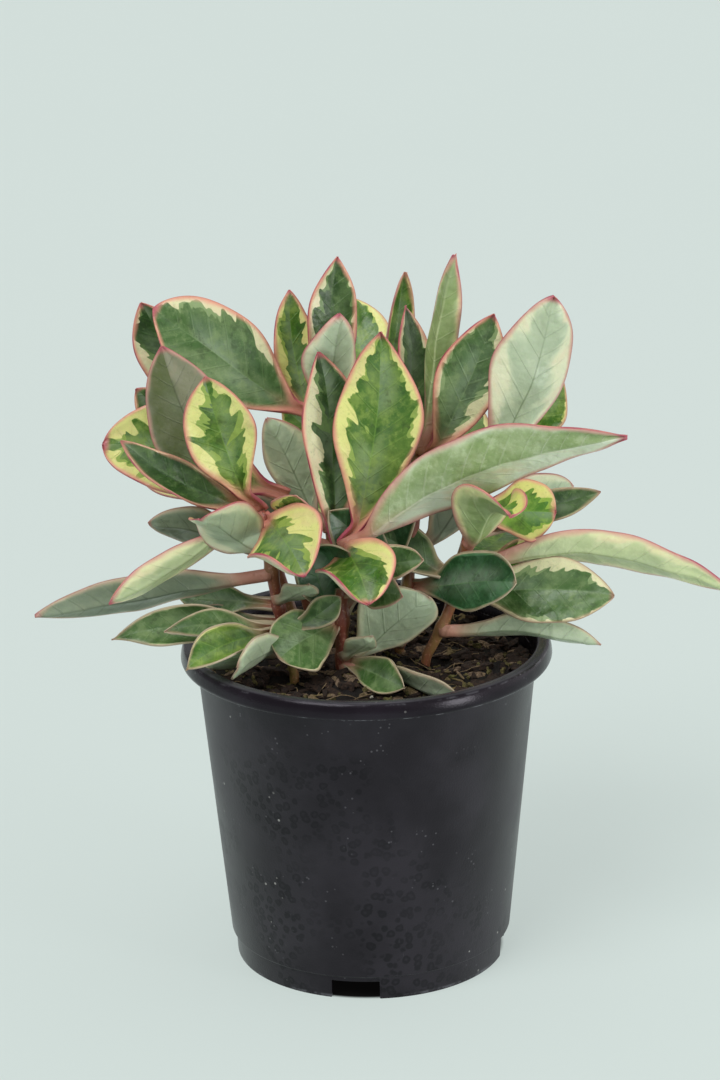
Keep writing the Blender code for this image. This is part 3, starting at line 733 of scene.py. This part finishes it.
def make_stems(mat):
    """Bars bent along each stem, swollen where leaves leave them and rounded at the top."""
    blank = stem_blank()
    for name, row in STEMS.items():
        joints = [leaf[2] for leaf in LEAVES if leaf[1] == name]
        radius = row[6] / 2 * MM
        obj = blank.copy()
        obj.data = blank.data.copy()
        obj.name = obj.data.name = "fine_stem_" + name
        bpy.context.scene.collection.objects.link(obj)
        for vert in obj.data.vertices:
            place = vert.co.z
            low = int(place * STEM_STEPS) / STEM_STEPS
            point, along = stem_point(name, low)
            point = point + along * (place - low) * row[5] * MM
            if place < FOOT_SHARE:
                point.z -= FOOT_DEPTH
            side = along.orthogonal().normalized()
            other = along.cross(side)
            swell = sum(math.exp(-((place - joint) * row[5] / 2.6) ** 2) for joint in joints)
            knobble = 0.1 * noise.noise(Vector((vert.co.x, vert.co.y, place * 9 + row[0])))
            close = math.sqrt(max(1 - smooth(0.965, 1, place), 0.02))
            wide = radius * (0.86 + 0.26 * min(swell, 1.2) + knobble) * close
            vert.co = point + side * vert.co.x * wide + other * vert.co.y * wide
        obj.data.materials.append(mat)
        own(obj, "stem_" + name)
    bpy.data.objects.remove(blank)


# ---------------------------------------------------------------- leaves

def blade_width(share, width):
    """Width of a leaf at a share of its length: a narrow stalk, then an oval with a point."""
    if share <= STALK_SHARE:
        return STALK_WIDTH
    along = (share - STALK_SHARE) / (1 - STALK_SHARE)
    oval = math.sin(math.pi * along ** 0.95) ** 0.8 if along < 1 else 0
    return max(width * oval, STALK_WIDTH * (1 - along) + TIP_WIDTH * along)


def fine_width(share, width, waist, blunt):
    """The same outline with a stalk that widens smoothly, its own waist and its own tip."""
    along = max((share - 0.07) / 0.93, 0)
    oval = math.sin(math.pi * along ** waist) ** blunt if along < 1 else 0
    neck = (STALK_WIDTH * (1 - along) ** 2 + 0.5 * MM) * 0.9
    return (neck ** 2.4 + (width * oval) ** 2.4) ** (1 / 2.4)


def blade_frames(row, turn, lift, shares, curl=0):
    """Point, direction, upward side and sideways side at each share of the length."""
    _, stem, place, heading, rise, length, _, look, droop, _ = row
    clear = STEMS[stem][6] / 2 * MM + LEAF_THICKNESS + STALK_WIDTH / 2
    point = stem_point(stem, place)[0] + direction(heading + turn, 0) * clear
    face = direction(look, LOOK_UP)
    frames, before = [], 0
    for share in shares:
        along = direction(heading + turn,
                          rise + lift - droop * share - curl * smooth(0.45, 1, share))
        point = point + along * (length * MM * (share - before))
        before = share
        up = (face - along * face.dot(along)).normalized()
        frames.append((point.copy(), along, up, up.cross(along)))
    return frames


def settled(row):
    """The turn and lift with which a leaf clears its neighbours: those that fill its node's box."""
    low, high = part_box("leaf_" + row[0])
    steps = [NUDGE * index for index in range(1 - NUDGES, NUDGES)]
    shares = [index / CAD_ROWS for index in range(CAD_ROWS + 1)]
    best, best_miss = (0, 0), 1
    spread = math.cos(math.radians(row[9]))
    for turn in steps:
        for lift in steps:
            corners = []
            for share, (point, _, up, side) in zip(shares, blade_frames(row, turn, lift, shares)):
                half = blade_width(share, row[6] * MM) / 2
                raised = up * half * math.sin(math.radians(row[9]))
                corners += [point + side * half * spread + raised,
                            point - side * half * spread + raised]
            miss = sum(abs(min(c[i] for c in corners) - low[i]) +
                       abs(max(c[i] for c in corners) - high[i]) for i in range(3))
            if miss < best_miss:
                best, best_miss = (turn, lift), miss
    return best


def leaf_blank():
    """A flat blade, one unit long and two wide."""
    obj = start(bpy.ops.mesh.primitive_grid_add, "leaf_blank", x_subdivisions=BLANK_ROWS,
                y_subdivisions=BLANK_COLUMNS, size=2)
    bpy.ops.transform.resize(value=(0.5, 1, 1), center_override=ORIGIN)
    bpy.ops.transform.translate(value=(0.5, 0, 0))
    settle_down(obj, None)
    bpy.ops.object.shade_smooth()
    return obj


def section(bent, half, roll, fold):
    """Sideways and raised distance of a point on one half of a leaf's cross-section."""
    hinge = 0.3
    flat, rest = min(bent, hinge) * half, max(bent - hinge, 0) * half
    out, rise = flat + rest, 0
    if rest and abs(roll) > 0.01:
        bow = (1 - hinge) * half / roll
        out, rise = flat + bow * math.sin(rest / bow), bow * (1 - math.cos(rest / bow))
    soft = bent / math.sqrt(bent * bent + 0.03)
    return (out * math.cos(fold) - rise * math.sin(fold),
            out * math.sin(fold) * soft + rise * math.cos(fold))


def make_leaf(row, blank, skins, hem, seed, node):
    """One leaf: the blank bent along its midrib, rolled, rippled, thickened and marked."""
    name, width, length, fold = row[0], row[6] * MM, row[5], math.radians(row[9])
    chance = random.Random(seed)
    usual = (chance.uniform(-10, 26), chance.uniform(-10, 26), 0.55, chance.uniform(-12, 8),
             chance.uniform(-10, 10), chance.uniform(-0.03, 0.03), chance.uniform(1.1, 1.35),
             chance.uniform(0.7, 0.88))
    roll_left, roll_right, where, curl, twist, sway, waist, blunt = FORMS.get(name, usual)
    left, right, jagged, pink, upper, under = HABITS.get(name, PLAIN_HABIT)
    ripple = chance.uniform(0.3, 0.8) * width / 26
    beats, skew = chance.uniform(1.8, 3.2), chance.uniform(-0.08, 0.08)
    phases = [chance.uniform(0, 6.28) for _ in range(3)]
    turn, lift = settled(row) if node else (0, 0)
    # Rows close up towards the tip.
    rows = [1 - (1 - index / BLANK_ROWS) ** 1.25 for index in range(BLANK_ROWS + 1)]
    frames = blade_frames(row, turn, lift, rows, curl)
    # The foot of the stalk is drawn back into the stem that it grows from.
    joint = stem_point(row[1], row[2])[0].lerp(frames[0][0], 0.1) - frames[0][0]

    obj = blank.copy()
    obj.data = mesh = blank.data.copy()
    obj.name = mesh.name = "fine_leaf_" + name
    bpy.context.scene.collection.objects.link(obj)
    marks = {"blade": [], "reach": [], "habit": [], "finish": []}
    thick = obj.vertex_groups.new(name="thick")
    low, high = MODEL_BOX
    for vert in mesh.vertices:
        index, across = round(vert.co.x * BLANK_ROWS), vert.co.y
        share, bent = rows[index], abs(across)
        point, _, up, side = frames[index]
        point = point + joint * (1 - smooth(0, JOINT_REACH / length, share))
        leafy = smooth(0.06, 0.3, share)
        wobble = 1 + leafy * 0.04 * math.sin(share * 13 + phases[0] + (2 if across > 0 else 0))
        half = fine_width(share, width, waist, blunt) / 2 * wobble * (1 + skew * across * leafy)
        lean = math.radians(twist) * (share - 0.3) * leafy * 2
        own_side = side * math.cos(lean) + up * math.sin(lean)
        own_up = up * math.cos(lean) - side * math.sin(lean)
        strong = math.exp(-((share - where) / 0.3) ** 2) * leafy
        roll = math.radians(roll_left if across > 0 else roll_right) * strong
        out, raised = section(bent, half, roll, fold)
        raised += leafy * ripple * bent ** 2 * math.sin(share * 6.28 * beats + phases[1] +
                                                       (1.7 if across > 0 else 0)) * MM
        swell = noise.noise(Vector((share * length / 16, across * width / MM / 22, seed * 5.3)))
        raised += leafy * SWELL * swell
        raised -= (1 - leafy) * STALK_DIP * (1 - 2 * bent ** 2)
        drift = sway * length * MM * 4 * share * (share - 1)
        vert.co = point + own_side * (math.copysign(out, across) + drift) + own_up * raised
        for axis in range(3):
            vert.co[axis] = min(max(vert.co[axis], low[axis] + INSET), high[axis] - INSET)
        marks["blade"] += (share, across, 0)
        marks["reach"] += (min((1 - bent) * half, (1.004 - share) * length * MM * 0.7) / MM,
                           bent * half / MM, share * length)
        marks["habit"] += (left, right, seed * 3.7)
        marks["finish"] += (jagged, pink, 0)
        body = LEAF_THICKNESS / STALK_THICKNESS
        heavy = body * (0.5 + 0.5 * (1 - bent ** 3)) + 0.3 * math.exp(-(bent * half / MM) ** 2)
        weight = heavy * leafy * smooth(1, 0.9, share) + (1 - leafy) * (1 - 0.45 * bent)
        thick.add([vert.index], min(weight, 1), "REPLACE")
    for mark, values in marks.items():
        mesh.attributes.new(mark, "FLOAT_VECTOR", "POINT").data.foreach_set("vector", values)
    shell = obj.modifiers.new("shell", "SOLIDIFY")
    shell.thickness = STALK_THICKNESS
    shell.offset = -1
    shell.vertex_group = "thick"
    shell.thickness_vertex_group = 0.12
    shell.material_offset = 1
    shell.material_offset_rim = 2
    for mat in (skins[upper], skins[under], hem):
        mesh.materials.append(mat)
    finish_modifiers(obj)
    obj.vertex_groups.clear()
    own(obj, "leaf_" + name if node else None)
    return obj


def make_leaves():
    """Every leaf, with a skin for each tone and one hem for all."""
    skins = {tone: leaf_skin("waxy_leaf_" + tone, tone, tone in UNDERSIDES) for tone in TONES}
    hem = leaf_hem()
    blank = leaf_blank()
    for index, row in enumerate(LEAVES + SMALL_LEAVES):
        make_leaf(row, blank, skins, hem, index + 1, index < len(LEAVES))
    bpy.data.objects.remove(blank)


# ---------------------------------------------------------------- pot

def make_pot(mat):
    """Rings drawn out one after another, from the disc underneath, over the rim, to the floor."""
    inner_top = RIM_RADIUS - RIM_LEDGE
    inner_wall = WALL + 0.1 * MM
    rings = [
        (DISC_RADIUS, 0), (CHANNEL_INNER, CHANNEL_ROOF), (CHANNEL_OUTER, CHANNEL_ROOF),
        (CHANNEL_OUTER, 0), (SKIRT_RADIUS - 0.5 * MM, 0), (SKIRT_RADIUS, SKIRT_HEIGHT),
        (BODY_FOOT_RADIUS, SKIRT_HEIGHT + 0.8 * MM),
        (SHOULDER_RADIUS, RIM_FOOT - 0.5 * MM), (SHOULDER_RADIUS + 0.8 * MM, RIM_FOOT),
        (RIM_RADIUS - 0.5 * MM, RIM_FOOT), (RIM_RADIUS, RIM_FOOT + 1.2 * MM),
        (RIM_RADIUS - 0.2 * MM, POT_HEIGHT - 3.6 * MM),
        (RIM_RADIUS - 0.6 * MM, POT_HEIGHT - 1.8 * MM),
        (RIM_RADIUS - 1 * MM, POT_HEIGHT - 0.9 * MM),
        (RIM_RADIUS - 1.5 * MM, POT_HEIGHT - 0.3 * MM),
        (RIM_RADIUS - 2.1 * MM, POT_HEIGHT), (inner_top + 0.6 * MM, POT_HEIGHT - 0.1 * MM),
        (inner_top - 0.4 * MM, POT_HEIGHT - 0.6 * MM), (inner_top - 1.2 * MM, POT_HEIGHT - 2 * MM),
        (SHOULDER_RADIUS - inner_wall, RIM_FOOT),
        (BODY_FOOT_RADIUS - inner_wall, CHANNEL_ROOF + FLOOR_THICKNESS),
        (CHANNEL_INNER - inner_wall, CHANNEL_ROOF + FLOOR_THICKNESS),
        (DISC_RADIUS - inner_wall, FLOOR_THICKNESS),
    ]
    radius, height = rings[0]
    obj = start(bpy.ops.mesh.primitive_circle_add, "moulded_pot", vertices=POT_SEGMENTS,
                radius=radius, location=(0, 0, height), fill_type="NGON")
    bpy.ops.mesh.select_mode(type="EDGE")
    bpy.ops.mesh.region_to_loop()
    for next_radius, next_height in rings[1:]:
        bpy.ops.mesh.extrude_edges_move(
            TRANSFORM_OT_translate={"value": (0, 0, next_height - height)})
        scale = next_radius / radius
        bpy.ops.transform.resize(value=(scale, scale, 1), center_override=(0, 0, next_height))
        radius, height = next_radius, next_height
    bpy.ops.mesh.edge_face_add()
    bpy.ops.mesh.select_all(action="SELECT")
    bpy.ops.mesh.normals_make_consistent(inside=False)
    settle_down(obj, mat)
    for index in range(NOTCH_COUNT):
        turn = math.radians(FIRST_NOTCH + index * 360 / NOTCH_COUNT)
        reach = (CHANNEL_OUTER + SKIRT_RADIUS) / 2
        cutter = start(bpy.ops.mesh.primitive_cube_add, "notch_cutter", size=1,
                       location=(reach * math.cos(turn), reach * math.sin(turn),
                                 NOTCH_HEIGHT / 2 - 1 * MM), rotation=(0, 0, turn),
                       scale=(8 * MM, NOTCH_WIDTH, NOTCH_HEIGHT + 2 * MM))
        settle_down(cutter, None)
        cut = obj.modifiers.new("notch", "BOOLEAN")
        cut.operation, cut.solver, cut.object = "DIFFERENCE", "EXACT", cutter
        finish_modifiers(obj)
        bpy.data.objects.remove(cutter)
    soften = obj.modifiers.new("soften", "BEVEL")
    soften.width, soften.segments, soften.limit_method = 0.35 * MM, 2, "ANGLE"
    soften.angle_limit = math.radians(28)
    finish_modifiers(obj)
    bpy.ops.object.shade_smooth_by_angle(angle=math.radians(40))
    own(obj, "nursery_pot")


# ---------------------------------------------------------------- potting mix

def ground(x, y):
    """Height of the lumpy surface of the mix."""
    spot = Vector((x, y, 0))
    lumps = noise.noise(spot * 60) * 3.4 * MM + noise.noise(spot * 220) * 2 * MM
    return mix_height(math.hypot(x, y)) - 2 * MM + lumps


def make_mix(mat):
    """A plug of mix whose top is inset in rings and then lumped."""
    top = mix_height(MIX_RADIUS)
    depth = top - CHANNEL_ROOF - FLOOR_THICKNESS - 1 * MM
    obj = start(bpy.ops.mesh.primitive_cone_add, "fine_mix", vertices=128, depth=depth,
                radius1=BODY_FOOT_RADIUS - 3 * MM, radius2=MIX_RADIUS,
                location=(0, 0, top - depth / 2))
    bpy.ops.mesh.select_mode(type="FACE")
    bpy.ops.mesh.select_all(action="DESELECT")
    bpy.ops.object.mode_set(mode="OBJECT")
    for face in obj.data.polygons:
        face.select = face.normal.z > 0.9
    bpy.ops.object.mode_set(mode="EDIT")
    rings = 44
    for _ in range(rings):
        bpy.ops.mesh.inset(thickness=MIX_RADIUS / (rings + 2))
    settle_down(obj, mat)
    for vert in obj.data.vertices:
        if vert.co.z > top - 1 * MM:
            vert.co.z = ground(vert.co.x, vert.co.y)
    bpy.ops.object.shade_smooth()
    own(obj, "potting_mix")


def flake(seed, rough):
    """A worn crumb: a bevelled block with its corners pushed about."""
    obj = start(bpy.ops.mesh.primitive_cube_add, "crumb_blank", size=1)
    bpy.ops.mesh.bevel(offset=0.22, segments=1)
    settle_down(obj, None)
    chance = random.Random(seed)
    for vert in obj.data.vertices:
        vert.co *= 1 + chance.uniform(-rough, rough)
    return obj


def scatter(name, blank, mat, count, sizes, tipping, seed):
    """Copies of a crumb strewn over the mix and joined as one piece."""
    chance = random.Random(seed)
    copies = []
    while len(copies) < count:
        reach = STREWN_RADIUS * math.sqrt(chance.random())
        turn = chance.uniform(0, 2 * math.pi)
        x, y = reach * math.cos(turn), reach * math.sin(turn)
        size = [chance.uniform(*span) * MM for span in sizes]
        tilt = Matrix.Rotation(chance.gauss(0, tipping), 4, "X")
        spin = Matrix.Rotation(chance.uniform(0, 2 * math.pi), 4, "Z")
        place = Matrix.Translation((x, y, ground(x, y) + size[2] * 0.3))
        copy = blank.copy()
        copy.data = blank.data.copy()
        copy.data.transform(place @ spin @ tilt @ Matrix.Diagonal((*size, 1)))
        bpy.context.scene.collection.objects.link(copy)
        copies.append(copy)
    pick(*copies)
    bpy.ops.object.join()
    piece = bpy.context.object
    piece.name = piece.data.name = name
    piece.data.materials.append(mat)
    bpy.data.objects.remove(blank)
    own(piece, None)


def make_fibres(mat):
    """Dried root fibres, bowed threads that lie on the mix."""
    chance = random.Random(77)
    curve = bpy.data.curves.new("root_fibres", "CURVE")
    curve.dimensions, curve.bevel_depth, curve.bevel_resolution = "3D", FIBRE_RADIUS, 1
    curve.use_fill_caps = True
    for _ in range(FIBRE_COUNT):
        reach = (FIBRE_LIMIT - 2 * MM) * math.sqrt(chance.random())
        turn, heading = chance.uniform(0, 2 * math.pi), chance.uniform(0, 6.28)
        x, y = reach * math.cos(turn), reach * math.sin(turn)
        spline = curve.splines.new("POLY")
        spline.points.add(6)
        for index, point in enumerate(spline.points):
            if math.hypot(x, y) > FIBRE_LIMIT:
                heading += math.pi
            lift = (0.6 + 1.4 * math.sin(index / 6 * math.pi)) * MM
            point.co = (x, y, ground(x, y) + lift, 1)
            point.radius = 1 - 0.1 * index
            heading += chance.uniform(-0.45, 0.45)
            x += math.cos(heading) * FIBRE_STEP
            y += math.sin(heading) * FIBRE_STEP
    obj = bpy.data.objects.new("root_fibres", curve)
    bpy.context.scene.collection.objects.link(obj)
    pick(obj)
    bpy.ops.object.convert(target="MESH")
    obj = bpy.context.object
    obj.data.materials.append(mat)
    own(obj, None)


# ---------------------------------------------------------------- stage

def make_stage():
    """A floor of flat painted board, a white studio round it and its lamps."""
    floor = start(bpy.ops.mesh.primitive_plane_add, "floor", size=12)
    mat, tree, shader = new_material("pale_painted_floor", Roughness=0.9)
    add = partial(add_node, tree)
    place = add("TexCoord", out=3)
    tooth = add("TexNoise", place, Scale=3, Detail=2)
    colour = add("Mix RGBA", tooth, "#d2deda", "#d3dfdb")
    # Painted shadow where the pot stands: the floor goes near black inside the skirt and is seen
    # through the notches.
    far = add("VectorMath LENGTH", add("VectorMath MULTIPLY", place, (1, 1, 0)))
    mark = add("MapRange SMOOTHSTEP", far, SKIRT_RADIUS - 3 * MM, SKIRT_RADIUS - 0.5 * MM, 1, 0)
    colour = add("Mix RGBA", mark, colour, "#0b0a0a")
    # A light table: two thirds of its brightness is its own, so shadows stay faint.
    own_light = 0.65
    tree.links.new(add("Mix RGBA", own_light, colour, "#000000"), shader.inputs["Base Color"])
    tree.links.new(colour, shader.inputs["Emission Color"])
    shader.inputs["Emission Strength"].default_value = own_light
    shader.inputs["Specular IOR Level"].default_value = 0.1
    settle_down(floor, mat)

    world = bpy.data.worlds.new("studio")
    bpy.context.scene.world = world
    world.use_nodes = True
    background = world.node_tree.nodes["Background"]
    background.inputs["Strength"].default_value = 0.34
    # A bright wall to the right, just behind the plant.
    add = partial(add_node, world.node_tree)
    way = add("TexCoord")
    toward = add("VectorMath DOT_PRODUCT", way, (0.93, 0.36, 0.0))
    glow = add("MapRange SMOOTHSTEP", toward, 0.72, 0.97, 0.85, 3.4)
    world.node_tree.links.new(glow, background.inputs["Color"])
    # Large distant soft boxes: strength, width as an angle, and the way their light travels.
    for name, strength, spread, travel in (("key", 1.75, 35, (0.45, 0.6, -1.0)),
                                           ("fill", 0.4, 70, (-0.9, 0.6, -0.7)),
                                           ("top", 0.45, 50, (0.0, -0.35, -1.0))):
        lamp = bpy.data.lights.new(name, "SUN")
        lamp.energy, lamp.angle = strength, math.radians(spread)
        holder = bpy.data.objects.new(name, lamp)
        holder.rotation_euler = Vector(travel).to_track_quat("-Z", "Y").to_euler()
        holder.location = -Vector(travel)
        bpy.context.scene.collection.objects.link(holder)
    # A small box at the front right puts a sheen on the rim and on the wall of the pot.
    box = bpy.data.lights.new("sheen", "AREA")
    box.shape, box.size, box.size_y, box.energy = "RECTANGLE", 0.35, 0.4, 5
    holder = bpy.data.objects.new("sheen", box)
    holder.location = (1.05, -0.75, 0.24)
    turn = Vector((1.05, -0.75, 0.12)).to_track_quat("Z", "Y")
    holder.rotation_euler = turn.to_euler()
    bpy.context.scene.collection.objects.link(holder)
    bpy.context.scene.view_settings.view_transform = "Standard"


def make_camera():
    """A long lens that looks down on the plant by 18.5 degrees, a touch out of level."""
    down, distance, roll = math.radians(18.5), 1.4, math.radians(-1)
    aim = Vector((-1.7 * MM, 0, 164 * MM))
    back = Vector((0, -math.cos(down), math.sin(down)))
    right = Vector((1, 0, 0))
    data = bpy.data.cameras.new("camera")
    data.lens, data.sensor_width = 125, 36
    camera = bpy.data.objects.new("camera", data)
    bpy.context.scene.collection.objects.link(camera)
    turn = Matrix((right, back.cross(right), back)).transposed().to_4x4()
    camera.matrix_world = (Matrix.Translation(aim + back * distance) @ turn @
                           Matrix.Rotation(roll, 4, "Z"))
    bpy.context.scene.camera = camera


make_camera()
make_stage()
make_pot(pot_plastic())
matter = {name: loose_matter(name, *look) for name, look in MATTER.items()}
make_mix(matter["damp_peat"])
for name, kind, crumb, rough, count, sizes, tipping, seed in LITTER:
    scatter(name, flake(crumb, rough), matter[kind], count, sizes, tipping, seed)
make_fibres(matter["dried_root"])
make_stems(stem_skin())
make_leaves()
